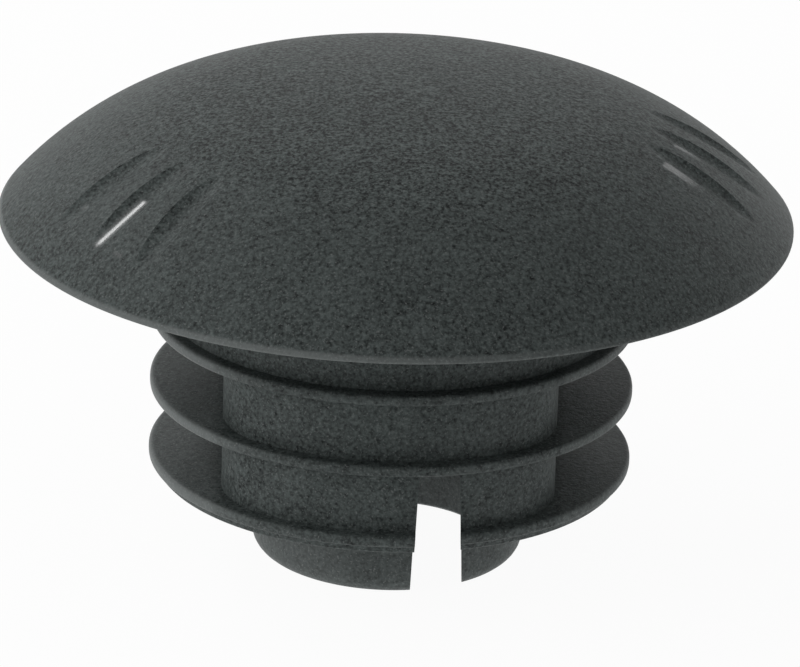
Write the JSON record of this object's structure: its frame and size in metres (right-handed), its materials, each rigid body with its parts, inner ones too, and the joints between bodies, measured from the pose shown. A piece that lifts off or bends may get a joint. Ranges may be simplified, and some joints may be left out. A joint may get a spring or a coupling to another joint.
{
  "type": "plastic hole plug",
  "caption": "Domed push-in plug that closes a round panel hole, with a ribbed flat-sided stem, a slotted foot and finger grips.",
  "frame": {"origin": "on the plug's axis, in the plane of the flat rim under the head, where the plug lands on its panel", "axes": "+Z along the axis, out through the top of the dome; the stem points down -Z; the flats on the stem face +X and -X, and the slot is cut through its -Y side"},
  "size_m": [0.043, 0.043, 0.0267],
  "materials": {
    "black_plastic": "matte charcoal black, fine spark-eroded grain"
  },
  "bodies": {
    "root": {"plug_body": "black_plastic"}
  },
  "joints": []
}
